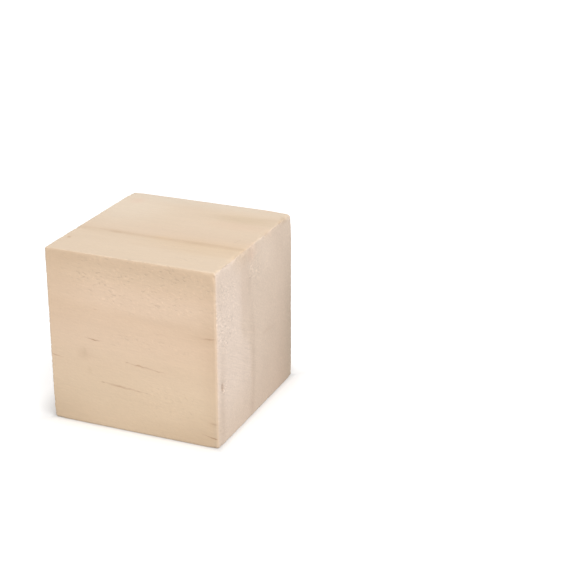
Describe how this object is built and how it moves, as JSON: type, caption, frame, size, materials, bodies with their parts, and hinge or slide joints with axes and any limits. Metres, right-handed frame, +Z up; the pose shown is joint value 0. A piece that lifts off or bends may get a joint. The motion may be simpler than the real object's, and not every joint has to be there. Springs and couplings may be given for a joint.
{
  "type": "wooden cube",
  "caption": "Solid cube of pale, bare wood with straight grain, end grain on opposite faces and lightly eased edges, for crafts, stacking and spacing.",
  "frame": {"origin": "middle of the underside, on the surface that the cube stands on", "axes": "+X along the grain, out of the end-grain face on the right; -Y out of the front face, whose growth rings lie nearly flat to it; +Z up"},
  "size_m": [0.05, 0.05, 0.05],
  "materials": {
    "bare_wood": "matte"
  },
  "bodies": {
    "root": {"wooden_cube": "bare_wood"}
  },
  "joints": []
}
